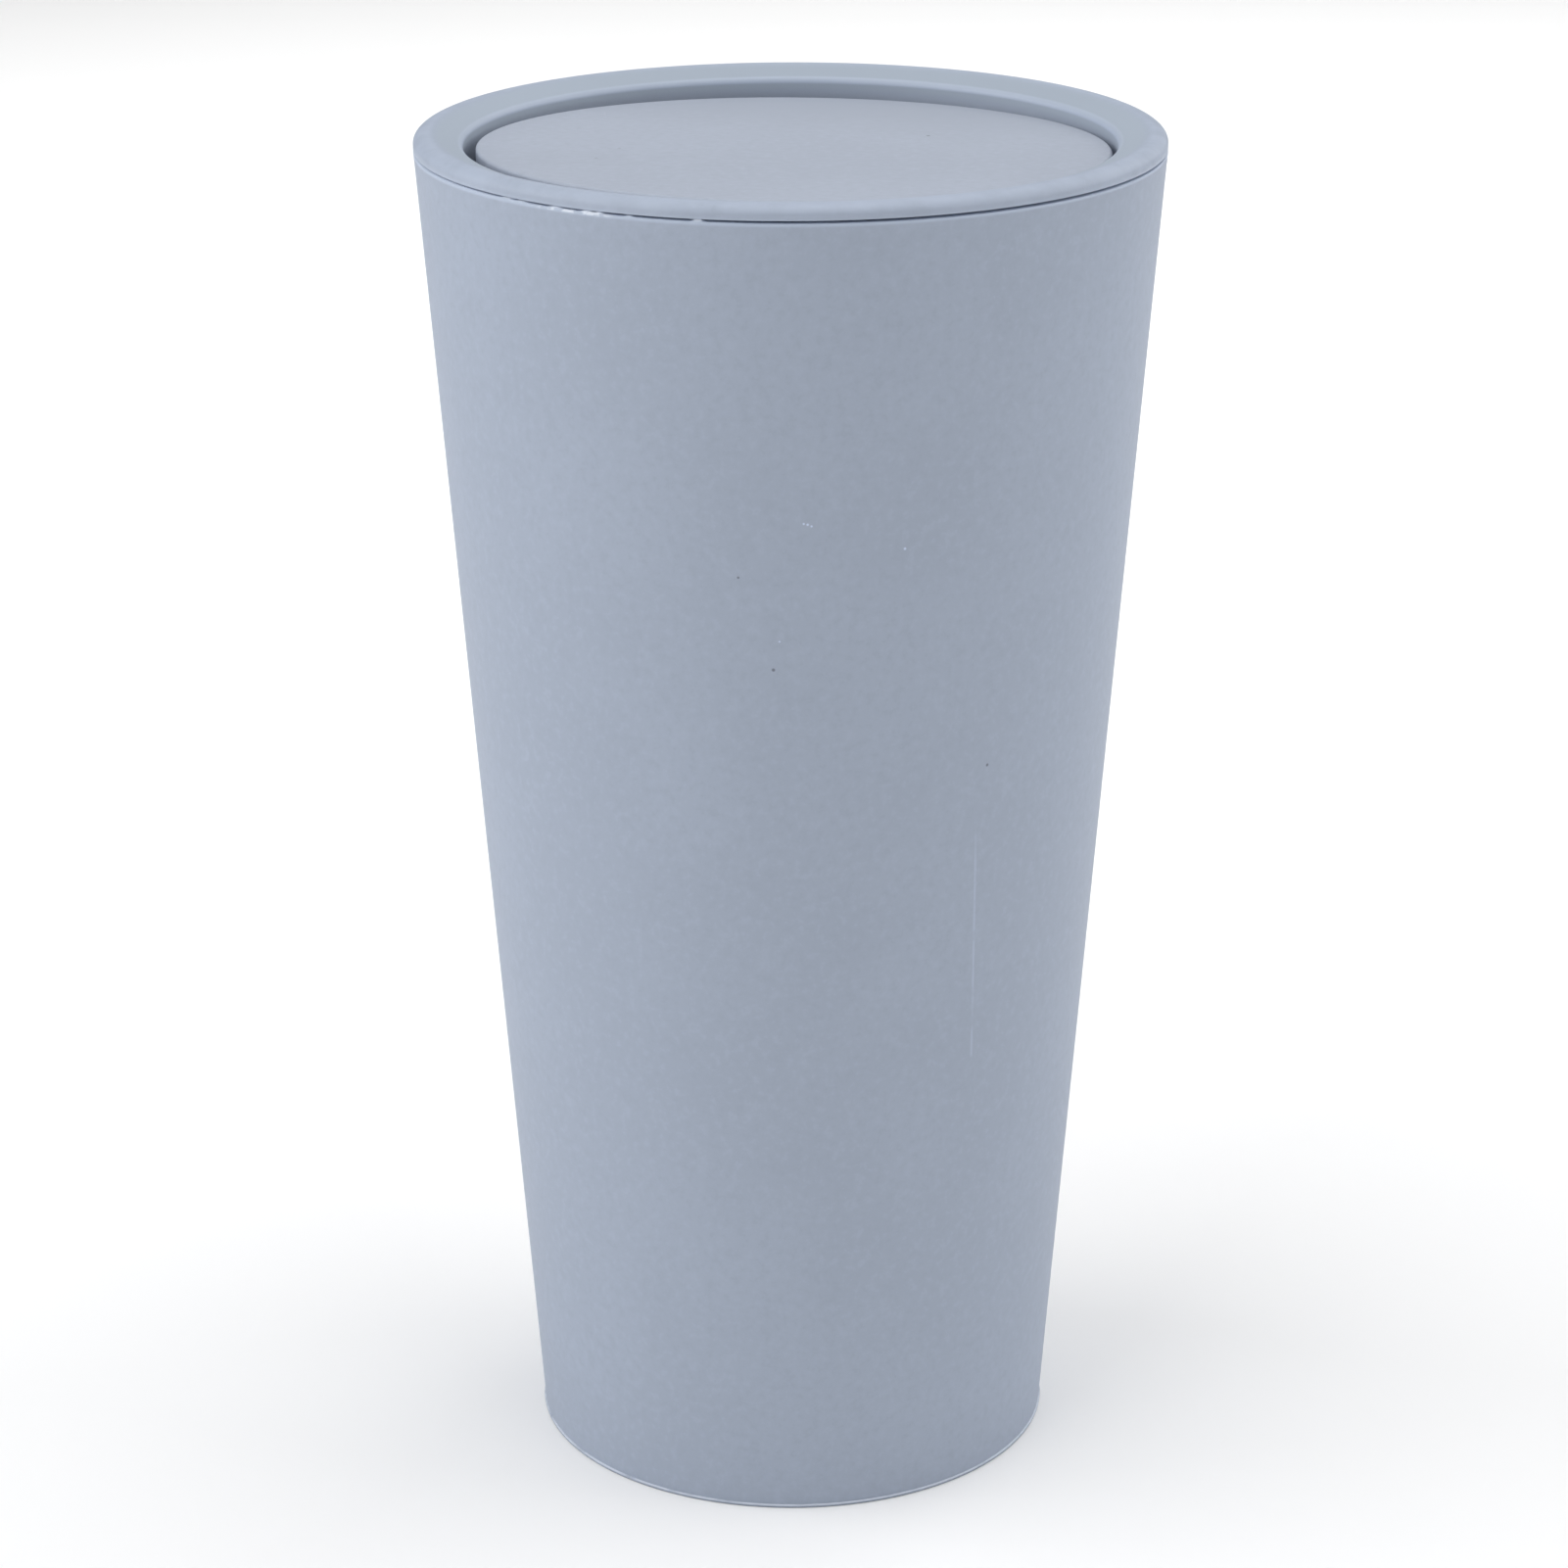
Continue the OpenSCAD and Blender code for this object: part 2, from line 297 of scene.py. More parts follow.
def tub_marks(g, place, colour, roughness):
    """A long hairline scratch, a few specks in the plastic, whitened crumbs and torn flash on the rim,
    painted highlights on the rim's rounded edge and along the foot, and painted shade along the bottom
    edge.
    """
    x, y, z = g.parts(place)
    turn = g.add("ShaderNodeMath", {0: y, 1: x}, operation="ARCTAN2")
    arc_length = turn * (SCRATCH_R * MM)

    def scratch(turn_deg, lean, low, high, width, strength):
        nonlocal colour
        middle = math.radians(turn_deg) * SCRATCH_R * MM
        away = (arc_length - middle - (z - low * MM) * lean).size()
        line = away.rise(width * MM, width * 0.3 * MM)
        ends = z.rise(low * MM, (low + 9) * MM) * z.rise(high * MM, (high - 9) * MM)
        breaks = g.noise(place, 420, 2).rise(0.36, 0.55)
        colour = g.over(colour, shade(BLUE_GREY, 1.35), line * ends * breaks * strength)

    scratch(-37.7, -0.050, 54, 93, 0.22, 0.5)
    scratch(12.0, 0.035, 88, 126, 0.16, 0.35)
    scratch(121.0, -0.028, 40, 71, 0.18, 0.4)

    def speck(turn_deg, height, radius, tone):
        nonlocal colour
        out = (BASE_R + LEAN * height) * MM
        t = math.radians(turn_deg)
        centre = (out * math.cos(t), out * math.sin(t), height * MM)
        colour = g.over(colour, tone, g.distance(place, centre).rise(radius * MM, radius * 0.4 * MM))

    dark, pale = shade(BLUE_GREY, 0.45), shade(BLUE_GREY, 1.6)
    speck(-77.0, 113.1, 0.28, dark)
    speck(-38.9, 98.6, 0.26, dark)
    speck(-82.4, 124.3, 0.20, dark)
    speck(-56.2, 127.3, 0.22, pale)
    speck(-72.2, 130.9, 0.18, pale)
    speck(-71.6, 130.8, 0.20, pale)
    speck(-71.0, 130.6, 0.18, pale)
    speck(-76.0, 116.6, 0.15, pale)
    speck(64.0, 58.0, 0.20, dark)
    speck(158.0, 120.0, 0.18, pale)

    # Painted highlight on the rim's rounded edge, which is also made a little smoother.
    painted_lip_highlight = z.rise((RIM_Z - 0.65) * MM, (RIM_Z - 0.3) * MM)
    colour = g.over(colour, shade(BLUE_GREY, 1.35), painted_lip_highlight * 0.75)
    crumbs = z.rise((RIM_Z - 0.03) * MM, (RIM_Z + 0.03) * MM)
    colour = g.over(colour, WHITENED_AND_HIGHLIGHT, crumbs)
    torn = turn.rise(math.radians(-114), math.radians(-111))
    torn = torn * turn.rise(math.radians(-99), math.radians(-103))
    torn = torn * z.rise((RIM_Z - 0.45) * MM, (RIM_Z - 0.25) * MM)
    colour = g.over(colour, WHITENED_AND_HIGHLIGHT, torn * g.noise(place, 900, 2).rise(0.48, 0.6))
    # Painted highlight along the rounded edge at the foot, in patches.
    painted_bead_highlight = z.rise((BEAD_H - 0.16) * MM, (BEAD_H - 0.1) * MM) * z.rise((BEAD_H + 0.08) * MM, BEAD_H * MM)
    painted_bead_highlight = painted_bead_highlight * g.noise(place, 220, 3).rise(0.25, 0.5)
    colour = g.over(colour, WHITENED_AND_HIGHLIGHT, painted_bead_highlight * 0.65)
    # Painted contact shade along the bottom edge, in patches.
    painted_contact_shade = z.rise(0.25 * MM, 0.1 * MM) * g.noise(place, 300, 3).rise(0.2, 0.5)
    colour = g.over(colour, shade(BLUE_GREY, 0.72), painted_contact_shade * 0.8)
    return colour, roughness - painted_lip_highlight * 0.08


def lid_marks(g, place, colour, roughness):
    """The ring's inner slope is a slightly less blue grey, with painted shade on it towards the back. Its
    outer crest has a painted highlight in patches and is a little smoother where hands rub it. Painted
    highlights run along its lower outer edge and the opening's rounded edge, and painted shade darkens the
    opening's wall inside.
    """
    x, y, z = g.parts(place)
    out = (x * x + y * y).root()
    slope = out.rise((CREST_R - 0.2) * MM, (CREST_R - 1.6) * MM)
    colour = g.over(colour, RING_TOP_GREY, slope)
    # Painted shade on the inner slope towards the back.
    colour = g.over(colour, shade(RING_TOP_GREY, 0.93), slope * y.rise(10 * MM, 38 * MM))
    # A painted highlight in patches along the crest, which is also made a little smoother there.
    crest = out.rise((CREST_R - 0.8) * MM, (CREST_R + 0.2) * MM)
    patchy_crest_highlight = crest * g.noise(place, 160, 3).rise(0.3, 0.65)
    colour = g.over(colour, shade(BLUE_GREY, 1.12), patchy_crest_highlight * 0.7)
    # Painted highlight along the ring's lower outer edge, just above the seam.
    painted_arris_highlight = z.rise((RIM_Z + 0.55) * MM, (RIM_Z + 0.35) * MM) * z.rise(RIM_Z * MM, (RIM_Z + 0.1) * MM)
    colour = g.over(colour, shade(BLUE_GREY, 1.2), painted_arris_highlight * 0.5)
    # Painted shade on the inner wall of the opening, below its edge.
    painted_throat_shade = out.rise((THROAT_R + 0.25) * MM, THROAT_R * MM)
    painted_throat_shade = painted_throat_shade * z.rise((RING_TOP - 2.2) * MM, (RING_TOP - 3) * MM)
    colour = g.over(colour, shade(BLUE_GREY, 0.90), painted_throat_shade)
    # Painted highlight along the opening's rounded edge, which is also made a little smoother.
    painted_lip_highlight = out.rise((THROAT_R + 0.7) * MM, (THROAT_R + 0.35) * MM)
    painted_lip_highlight = painted_lip_highlight * z.rise((RING_TOP - 2.1) * MM, (RING_TOP - 1.7) * MM)
    colour = g.over(colour, shade(BLUE_GREY, 1.2), painted_lip_highlight * 0.55)
    return colour, roughness - patchy_crest_highlight * 0.06 - painted_lip_highlight * 0.1


# Specks on the flap's top: across, back, radius and how dark.
FLAP_SPECKS = [(13.5, 12.1, 0.34, 0.35), (-19.6, -16.0, 0.30, 0.65), (-19.2, -8.5, 0.28, 0.70)]


def flap_marks(g, place, colour, roughness):
    """Painted shade towards the back, where the ring's wall shades the flap, and fine crossing rub marks
    from fingers that push the flap.
    """
    x, y, _ = g.parts(place)
    # Painted shade towards the back of the flap, under the ring's wall.
    colour = g.over(colour, shade(FLAP_GREY, 0.9), y.rise(6 * MM, 37 * MM))
    for lean, scale in ((0.4, 1500), (-0.7, 1900)):
        streak = g.add("ShaderNodeCombineXYZ", {0: (x + y * lean), 1: (y - x * lean) * 0.03})
        line = g.noise(streak, scale, 2).rise(0.66, 0.78) * g.noise(place, 90, 2).rise(0.5, 0.7)
        colour = g.over(colour, shade(FLAP_GREY, 1.12), line * 0.35)
        roughness = roughness - line * 0.05
    for across, back, radius, tone in FLAP_SPECKS:
        centre = HUNG @ Vector((across * MM, back * MM, FLAP_TOP * MM))
        spot = g.distance(place, centre).rise(radius * MM, radius * 0.4 * MM)
        colour = g.over(colour, shade(FLAP_GREY, tone), spot)
    return colour, roughness


TUB_FINISH = moulded_plastic("matte_blue_grey_tub", BLUE_GREY, tub_marks)
RING_FINISH = moulded_plastic("matte_blue_grey_ring", BLUE_GREY, lid_marks)
FLAP_FINISH = moulded_plastic("matte_blue_grey_flap", FLAP_GREY, flap_marks)
COVER_FINISH = moulded_plastic("matte_blue_grey_cover", shade(BLUE_GREY, 0.96))
PIN_FINISH = drawn_steel("drawn_steel_pin", (0.62, 0.63, 0.65))
WEIGHT_FINISH = sheared_steel("sheared_steel_blank", (0.50, 0.51, 0.53))
BUSH_FINISH = satin_acetal("satin_acetal_bush", (0.80, 0.79, 0.74))


# ---------------------------------------------------------------- mesh work
SEGMENTS = 720
SHARP = math.radians(32)


def oval(cx, cz, rx, rz, start, end, steps=8):
    """Points along an oval arc of an outline, angles in degrees."""
    turns = [math.radians(start + (end - start) * i / steps) for i in range(steps + 1)]
    return [(cx + rx * math.cos(t), cz + rz * math.sin(t)) for t in turns]


def arc(cx, cz, r, start, end, steps=8):
    return oval(cx, cz, r, r, start, end, steps)


def turned(outline, shape=None, segments=SEGMENTS):
    """A closed solid of revolution from an outline of (radius, height), in millimetres.
    shape(r, z, turn) may move a point."""
    bm = bmesh.new()
    rings = []
    for r, z in outline:
        count = 1 if r < 1e-6 else segments
        ring = []
        for i in range(count):
            turn = math.tau * i / segments
            rr, zz = shape(r, z, turn) if shape and count > 1 else (r, z)
            ring.append(bm.verts.new((rr * math.cos(turn) * MM, rr * math.sin(turn) * MM, zz * MM)))
        rings.append(ring)
    open_ended = len(rings[0]) == 1
    pairs = list(zip(rings, rings[1:])) + ([] if open_ended else [(rings[-1], rings[0])])
    for a, b in pairs:
        for i in range(segments):
            j = (i + 1) % segments
            corners = [a[i % len(a)], a[j % len(a)], b[j % len(b)], b[i % len(b)]]
            kept = [v for k, v in enumerate(corners) if v not in corners[:k]]
            if len(kept) > 2:
                bm.faces.new(kept)
    return bm


def bar(length, width, height, at=(0, 0, 0), turn=0.0, bevel=0.0):
    """A bevelled block, in millimetres, centred at a place and turned about Z."""
    bm = bmesh.new()
    bmesh.ops.create_cube(bm, size=1)
    bmesh.ops.scale(bm, vec=Vector((length, width, height)) * MM, verts=bm.verts)
    if bevel:
        bmesh.ops.bevel(bm, geom=bm.edges[:], offset=bevel * MM, segments=2, affect="EDGES", profile=0.5)
    place = Matrix.Rotation(turn, 4, "Z") @ Matrix.Translation(Vector(at) * MM)
    bmesh.ops.transform(bm, matrix=place, verts=bm.verts)
    return bm


def rod(radius, low, high, side=1, drop=0.0, bevel=0.0, segments=64):
    """A round bar lying along X on one side, with its centre dropped below the pins' axis."""
    tip = bevel or 0.001
    outline = [(0, low), (radius, low), (radius, high - tip), (radius - tip, high), (0, high)]
    bm = turned(outline, segments=segments)
    place = Matrix.Translation((0, 0, -drop * MM)) @ Matrix.Rotation(math.radians(90 * side), 4, "Y")
    bmesh.ops.transform(bm, matrix=place, verts=bm.verts)
    return bm


def to_object(name, bm):
    """The bmesh as a smooth-shaded object whose hard edges stay hard."""
    bmesh.ops.recalc_face_normals(bm, faces=bm.faces)
    for face in bm.faces:
        face.smooth = True
    for edge in bm.edges:
        edge.smooth = len(edge.link_faces) == 2 and edge.calc_face_angle(0) < SHARP
    mesh = bpy.data.meshes.new(name)
    bm.to_mesh(mesh)
    bm.free()
    piece = bpy.data.objects.new(name, mesh)
    bpy.context.scene.collection.objects.link(piece)
    return piece


def cut_or_join(piece, tools, operation):
    """Cuts the tools from the piece, or joins them to it, and shades the result again."""
    for k, tool in enumerate(tools):
        cutter = to_object(f"tool_{k}", tool)
        change = piece.modifiers.new("change", "BOOLEAN")
        change.operation = operation
        change.solver = "EXACT"
        change.object = cutter
        graph = bpy.context.evaluated_depsgraph_get()
        made = bpy.data.meshes.new_from_object(piece.evaluated_get(graph))
        piece.modifiers.clear()
        piece.data = made
        bpy.data.objects.remove(cutter)
    bm = bmesh.new()
    bm.from_mesh(piece.data)
    for edge in bm.edges:
        edge.smooth = len(edge.link_faces) == 2 and edge.calc_face_angle(0) < SHARP
    for face in bm.faces:
        face.smooth = True
    bm.to_mesh(piece.data)
    bm.free()
    return piece


def fit_out(piece, body, node, finish):
    """Gives a piece its finish and body, and lets it stand for its CAD node."""
    piece.data.materials.clear()
    piece.data.materials.append(finish)
    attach(piece, body)
    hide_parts(node)
    return piece


# ---------------------------------------------------------------- tub
def tub_r(z):
    return BASE_R + LEAN * z


def wander(turn, seed, size):
    """A slow drift round a moulding, in millimetres."""
    return size * noise.noise(Vector((1.6 * math.cos(turn), 1.6 * math.sin(turn), seed)))


def near(turn, degrees, width):
    """1 at an angle round the bin, falling to 0 within a width in degrees."""
    away = (math.degrees(turn) - degrees + 180) % 360 - 180
    return max(0.0, 1 - (away / width) ** 2)


random.seed(7)
# Crumbs of flash on the rim: angle, half length in degrees and height in millimetres
FLASH = [(-119.5, 1.5, 0.12), (-116.5, 1.2, 0.10), (-109.8, 1.4, 0.16), (-104.4, 1.2, 0.20)]
FLASH += [(-102.4, 0.8, 0.20), (-97.6, 0.7, 0.16), (-87.3, 0.9, 0.32)]
FLASH += [(random.uniform(0, 250), random.uniform(0.5, 1.3), random.uniform(0.04, 0.12)) for _ in range(9)]


def flash(turn):
    return max(near(turn, at, half) * high for at, half, high in FLASH)


def rim_fall(turn):
    """The trimmed rim is a little lower on one side."""
    return 0.1 * (1 + math.cos(turn - math.radians(16)))


def tub_shape(r, z, turn):
    """The wall drifts a few hundredths, and flash stands up along the rim's outer edge."""
    r += wander(turn, z * 0.012, 0.035) * min(1, z / 20)
    if z > RIM_Z - RIM_ROUND - 0.01 and r > RIM_R - 0.6:
        lift = (z - RIM_Z + RIM_ROUND) / RIM_ROUND
        z += flash(turn) * lift - rim_fall(turn)
    return min(r, RIM_R), z


def make_tub():
    inside_r = tub_r(FLOOR_TOP + INNER_ROUND) - TUB_WALL
    outline = [(0, FOOT_H + 0.1), (1.0, FOOT_H + 0.1), (1.2, FOOT_H + 0.4)]
    outline += [(4.4, FOOT_H + 0.4), (4.5, FOOT_H)]
    outline += [(10.9, FOOT_H), (11.0, FOOT_H + 0.12), (11.25, FOOT_H + 0.12), (11.35, FOOT_H)]
    outline += arc(BASE_R - FOOT_W - 0.8, FOOT_H - 0.8, 0.8, 90, 20, 5)
    outline += [(BASE_R - FOOT_W + 0.15, 0.12), (BASE_R - FOOT_W + 0.35, 0)]
    outline += [(BASE_R - 0.25, 0)]
    outline += arc(BASE_R - 0.02, BEAD_H / 2, BEAD_H / 2, -80, 80, 8)
    outline += [(tub_r(z), z) for z in (BEAD_H + 0.12, 1.2, 3, 6)]
    outline += [(tub_r(z), z) for z in range(10, int(RIM_Z) - 4, 6)]
    outline += [(tub_r(RIM_Z - 2), RIM_Z - 2)]
    outline += arc(RIM_R - RIM_ROUND, RIM_Z - RIM_ROUND, RIM_ROUND, 0, 90, 8)
    outline += arc(RIM_R - TUB_WALL + 0.2, RIM_Z - 0.2, 0.2, 90, 180, 5)
    outline += [(tub_r(z) - TUB_WALL, z) for z in range(int(RIM_Z) - 4, 10, -6)]
    outline += arc(inside_r - INNER_ROUND, FLOOR_TOP + INNER_ROUND, INNER_ROUND, 0, -90, 12)
    outline += [(11.4, FLOOR_TOP), (11.3, FLOOR_TOP - 0.1), (11.1, FLOOR_TOP - 0.1), (11.0, FLOOR_TOP)]
    outline += [(0, FLOOR_TOP)]
    piece = to_object("tub_moulding", turned(outline, tub_shape))
    return fit_out(piece, "bin", "tub", TUB_FINISH)


# ---------------------------------------------------------------- lid ring
def plug_r(z):
    return tub_r(z) - TUB_WALL - PLUG_GAP


def seam_gap(turn):
    """The ring sits a touch out of level, so the shadow line under it opens to one side."""
    lift = (0.5 + 0.5 * math.cos(turn + math.radians(40))) ** 2
    return 0.08 + 0.25 * lift + wander(turn * 3, 4.2, 0.02)


def ring_shape(r, z, turn):
    if r > RIM_R - SEAT_W - 0.01 and z < RIM_Z + 0.7:
        z += (seam_gap(turn) - rim_fall(turn)) * max(0.0, 1 - (z - RIM_Z) / 0.7)
    return r, z


def ring_outline():
    tan_fall = RING_FALL / (CREST_R - THROAT_R)
    fall = math.degrees(math.atan(tan_fall))
    crest_end = math.degrees(math.atan(tan_fall * CREST_IN / RING_ROUND))
    slope_r = CREST_R - CREST_IN * math.sin(math.radians(crest_end))
    slope_z = RING_TOP - RING_ROUND * (1 - math.cos(math.radians(crest_end)))
    edge_r = THROAT_R + THROAT_ROUND
    drop = (slope_r - edge_r) * tan_fall + THROAT_ROUND / math.cos(math.radians(fall))
    edge_z = slope_z - drop
    out = [(THROAT_R, PLUG_LOW + 0.15), (THROAT_R + 0.15, PLUG_LOW), (THROAT_R + LID_WALL - 0.15, PLUG_LOW)]
    out += [(THROAT_R + LID_WALL, PLUG_LOW + 0.15)]
    out += arc(THROAT_R + LID_WALL + 0.3, CHANNEL_TOP - 0.3, 0.3, 180, 90, 4)
    out += arc(plug_r(CHANNEL_TOP) - LID_WALL - 0.3, CHANNEL_TOP - 0.3, 0.3, 90, 0, 4)
    out += [(plug_r(PLUG_LOW) - LID_WALL, PLUG_LOW + 0.15), (plug_r(PLUG_LOW) - LID_WALL + 0.15, PLUG_LOW)]
    out += [(plug_r(PLUG_LOW) - 0.3, PLUG_LOW), (plug_r(PLUG_LOW + 0.4), PLUG_LOW + 0.4)]
    out += [(plug_r(GRIP_Z + dz) + rise, GRIP_Z + dz) for dz, rise in
            ((-0.6, 0), (-0.4, 0.13), (-0.15, GRIP_RISE), (0.15, GRIP_RISE), (0.4, 0.13), (0.6, 0))]
    out += [(plug_r(RIM_Z), RIM_Z), (RIM_R - SEAT_W - 0.02, RIM_Z), (RIM_R - SEAT_W, RIM_Z)]
    out += arc(RIM_R - 0.08, RIM_Z + 0.08, 0.08, -90, 0, 4)
    out += [(RIM_R, RIM_Z + 0.2), (RIM_R, RIM_Z + 0.45)]
    out += oval(CREST_R, RING_TOP - RING_ROUND, CREST_IN, RING_ROUND, 0, 90 + crest_end, 24)
    out += arc(edge_r, edge_z, THROAT_ROUND, 90 + fall, 180, 8)
    out += [(THROAT_R, z) for z in (RIM_Z - 2, PIVOT_Z, PLUG_LOW + 3)]
    return out


def make_lid_ring():
    piece = to_object("lid_ring_moulding", turned(ring_outline(), ring_shape))
    reach = (THROAT_R + plug_r(CHANNEL_TOP)) / 2
    webs = []
    for i in range(WEBS):
        turn = math.tau * (i + 0.5) / WEBS
        webs.append(bar(*WEB, (reach + 0.1, 0, WEB_LOW + WEB[2] / 2), turn))
    for turn in (0, math.pi):
        webs.append(bar(*BLOCK, (reach, 0, BLOCK_LOW + BLOCK[2] / 2), turn))
    cut_or_join(piece, webs, "UNION")
    holes = []
    for side in (-1, 1):
        hole = rod(PIN_R, THROAT_R - 3, RIM_R - 1, side)
        bmesh.ops.translate(hole, vec=(0, 0, PIVOT_Z * MM), verts=hole.verts)
        holes.append(hole)
        holes.append(stop_groove(side))
    cut_or_join(piece, holes, "DIFFERENCE")
    return fit_out(piece, "lid", "lid_ring", RING_FINISH)


def stop_groove(side):
    """The curved groove below a pin that a stop peg of the flap runs in."""
    half = PEG_R + GROOVE_GAP
    end = math.degrees(STOP_ANGLE - GROOVE_GAP / PEG_SWING_R)
    far_y = PEG_SWING_R * math.sin(math.radians(end))
    far_z = -PEG_SWING_R * math.cos(math.radians(end))
    edge = arc(0, 0, PEG_SWING_R + half, -90 - end, end - 90, 24)
    edge += arc(far_y, far_z, half, end - 90, end + 90, 12)[1:-1]
    edge += arc(0, 0, PEG_SWING_R - half, end - 90, -90 - end, 24)
    edge += arc(-far_y, far_z, half, 90 - end, 270 - end, 12)[1:-1]
    bm = bmesh.new()
    low, high = (THROAT_R - 1) * MM, (THROAT_R + GROOVE_DEPTH) * MM
    near_side = [bm.verts.new((side * low, y * MM, (PIVOT_Z + z) * MM)) for y, z in edge]
    far_side = [bm.verts.new((side * high, y * MM, (PIVOT_Z + z) * MM)) for y, z in edge]
    bm.faces.new(near_side)
    bm.faces.new(far_side)
    for k in range(len(edge)):
        j = (k + 1) % len(edge)
        bm.faces.new([near_side[k], near_side[j], far_side[j], far_side[k]])
    bmesh.ops.recalc_face_normals(bm, faces=bm.faces)
    return bm


# ---------------------------------------------------------------- flap
def hang(piece):
    """Moves a piece made in the flap's level frame to where the flap hangs."""
    piece.data.transform(HUNG)
    return piece


def make_flap_top():
    skirt_in = FLAP_R - SKIRT_T
    cover_top = FLAP_LOW + COVER_T
    under = FLAP_TOP - FLAP_SKIN
    outline = [(0, FLAP_TOP)] + [(r, FLAP_TOP) for r in (6, 14, 22, 30, 35)]
    outline += arc(FLAP_R - FLAP_ROUND, FLAP_TOP - FLAP_ROUND, FLAP_ROUND, 90, 0, 12)
    outline += [(FLAP_R, 0)]
    outline += arc(FLAP_R - 0.4, FLAP_LOW + 0.4, 0.4, 0, -90, 5)
    outline += [(skirt_in + COVER_SEAT, FLAP_LOW), (skirt_in + COVER_SEAT, cover_top)]
    outline += [(skirt_in, cover_top)]
    outline += arc(skirt_in - 0.5, under - 0.5, 0.5, 0, 90, 4)
    outline += [(20, under), (0, under)]
    piece = to_object("flap_top_moulding", turned(outline))
    bosses = []
    for side in (-1, 1):
        bosses.append(bar(*BOSS, (side * BOSS_OUT, 0, BOSS_UP)))
        bosses.append(bar(*HOLD, (side * HOLD_OUT, 0, HOLD_UP)))
        bosses.append(rod(PEG_R, skirt_in + 0.5, THROAT_R + PEG_REACH, side, PEG_SWING_R, 0.15, 40))
    cut_or_join(piece, bosses, "UNION")
    cut_or_join(piece, [rod(BUSH_R, skirt_in - 6.6, RIM_R, side) for side in (-1, 1)], "DIFFERENCE")
    return fit_out(hang(piece), "flap", "flap_shell", FLAP_FINISH)


def make_flap_cover():
    edge = FLAP_R - SKIRT_T + COVER_SEAT - 0.05
    top = FLAP_LOW + COVER_T
    outline = [(0, FLAP_LOW), (26, FLAP_LOW), (26.15, FLAP_LOW + 0.25), (27.0, FLAP_LOW + 0.25)]
    outline += [(27.15, FLAP_LOW)]
    outline += arc(edge - 0.25, FLAP_LOW + 0.25, 0.25, -90, 0, 5)
    outline += [(edge, top), (0, top)]
    piece = to_object("flap_cover_moulding", turned(outline))
    marks = []
    for turn in (45, 135, 225, 315):
        low, high = FLAP_LOW - 0.5, FLAP_LOW + EJECTOR_DEPTH
        mark = turned([(0, low), (EJECTOR_R, low), (EJECTOR_R, high), (0, high)], segments=64)
        spot = Matrix.Rotation(math.radians(turn), 4, "Z") @ Matrix.Translation((EJECTOR_OUT * MM, 0, 0))
        bmesh.ops.transform(mark, matrix=spot, verts=mark.verts)
        marks.append(mark)
    cut_or_join(piece, marks, "DIFFERENCE")
    inner_l = WEIGHT_L + 2 * NEST_GAP
    inner_w = WEIGHT_W + 2 * NEST_GAP
    tall = NEST_H + 0.2
    middle = top + NEST_H / 2 - 0.1
    walls = []
    for side in (-1, 1):
        across = side * (inner_l + NEST_WALL) / 2
        back = WEIGHT_SHIFT + side * (inner_w + NEST_WALL) / 2
        walls.append(bar(inner_l + 2 * NEST_WALL, NEST_WALL, tall, (0, back, middle)))
        walls.append(bar(NEST_WALL, inner_w + NEST_WALL, tall, (across, WEIGHT_SHIFT, middle)))
    cut_or_join(piece, walls, "UNION")
    return fit_out(hang(piece), "flap", "flap_underside", COVER_FINISH)


def finish_frame_nodes():
    """The pins, bushes and weight keep their CAD shape and get their own finishes."""
    finishes = {
        "pivot_pin_left": PIN_FINISH,
        "pivot_pin_right": PIN_FINISH,
        "pivot_bush_left": BUSH_FINISH,
        "pivot_bush_right": BUSH_FINISH,
        "balance_weight": WEIGHT_FINISH,
    }
    for name, finish in finishes.items():
        node = frame["nodes"][name]
        for slot in node.material_slots:
            slot.material = finish


# ---------------------------------------------------------------- studio
VIEW_TURN = math.radians(15.97)
VIEW_PITCH = math.radians(-19.553)
VIEW_ROLL = math.radians(-0.116)
CAMERA_AT = Vector((140.43, -494.11, 267.11)) * MM
LENS = 99.45
SENSOR = 36.0

# Soft boxes round the bin: angle from the camera's side, angle above the floor, width in metres, watts
SOFT_BOXES = {
    "front_right_box": (45, 28, 0.9, 2.6),
    "right_box": (90, 28, 0.9, 6.1),
    "back_right_box": (135, 28, 0.9, 3.8),
    "back_box": (180, 28, 0.9, 0.9),
    "back_left_box": (225, 28, 0.9, 0.7),
    "left_box": (270, 28, 0.9, 7.3),
    "front_left_box": (315, 28, 0.9, 5.7),
    "overhead_box": (0, 89.9, 1.5, 13.2),
}
BOX_REACH = 1.3

# The box that lights only the floor behind the bin: distance behind, height and width in metres, watts
FLOOR_BOX = (0.8, 0.9, 0.9, 5.0)


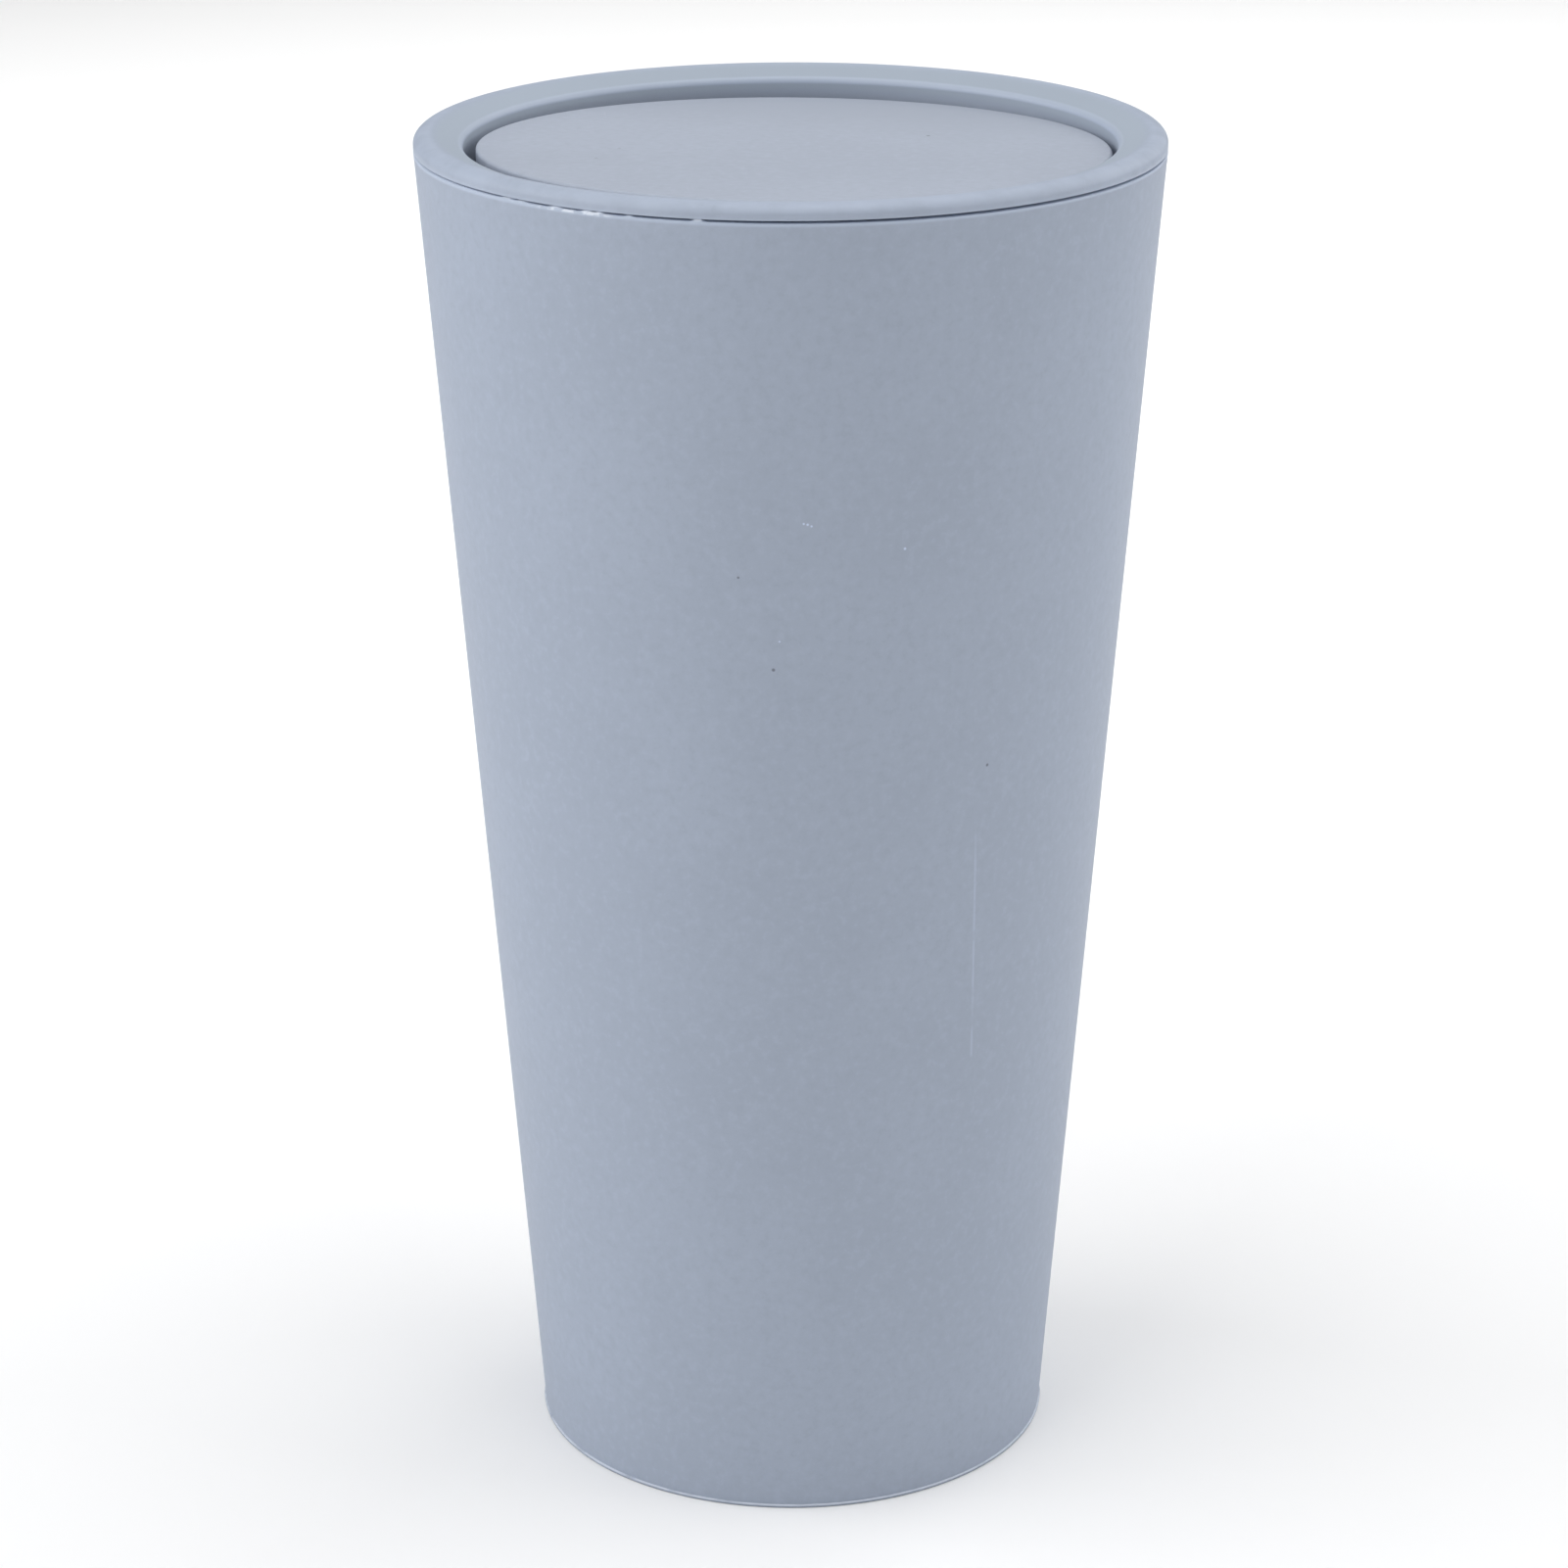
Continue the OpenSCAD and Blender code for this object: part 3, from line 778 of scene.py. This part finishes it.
def make_camera():
    data = bpy.data.cameras.new("view")
    data.sensor_width = SENSOR
    data.lens = LENS
    data.clip_start = 0.01
    camera = bpy.data.objects.new("view", data)
    bpy.context.scene.collection.objects.link(camera)
    turn = Matrix.Rotation(VIEW_TURN, 4, "Z") @ Matrix.Rotation(math.pi / 2 + VIEW_PITCH, 4, "X")
    camera.matrix_world = Matrix.Translation(CAMERA_AT) @ turn @ Matrix.Rotation(VIEW_ROLL, 4, "Z")
    bpy.context.scene.camera = camera


def make_floor():
    g = Graph("pale_studio_floor")
    tone = g.noise(g.object_place(), 2.5, 2)
    colour = g.over((0.90, 0.90, 0.90), (0.92, 0.92, 0.92), tone)
    bm = bmesh.new()
    bmesh.ops.create_grid(bm, x_segments=8, y_segments=8, size=4)
    floor = to_object("studio_floor", bm)
    floor.data.materials.append(g.finish(colour, 0.9, tone, 0.01 * MM))


def view_way(turn_deg, height_deg):
    """The direction at an angle from the camera's side and an angle above the floor."""
    height = math.radians(height_deg)
    way = Vector((0, -math.cos(height), math.sin(height)))
    way.rotate(Matrix.Rotation(VIEW_TURN + math.radians(turn_deg), 3, "Z"))
    return way


def soft_box(name, place, facing, width, power):
    data = bpy.data.lights.new(name, "AREA")
    data.shape = "SQUARE"
    data.size = width
    data.energy = power
    lamp = bpy.data.objects.new(name, data)
    bpy.context.scene.collection.objects.link(lamp)
    lamp.location = place
    lamp.rotation_euler = facing.to_track_quat("-Z", "Y").to_euler()


def make_lights():
    aim = Vector((0, 0, RIM_Z * MM / 2))
    for name, (turn, height, width, power) in SOFT_BOXES.items():
        way = view_way(turn, height)
        soft_box(name, aim + way * BOX_REACH, -way, width, power)
    behind, height, width, power = FLOOR_BOX
    place = view_way(180, 0) * behind + Vector((0, 0, height))
    soft_box("floor_box", place, view_way(180, -45), width, power)
    world = bpy.data.worlds.new("studio")
    world.use_nodes = True
    world.node_tree.nodes["Background"].inputs["Strength"].default_value = 0.0
    bpy.context.scene.world = world


make_camera()
make_tub()
make_lid_ring()
make_flap_top()
make_flap_cover()
finish_frame_nodes()
make_floor()
make_lights()
bpy.context.scene.view_settings.view_transform = "Standard"
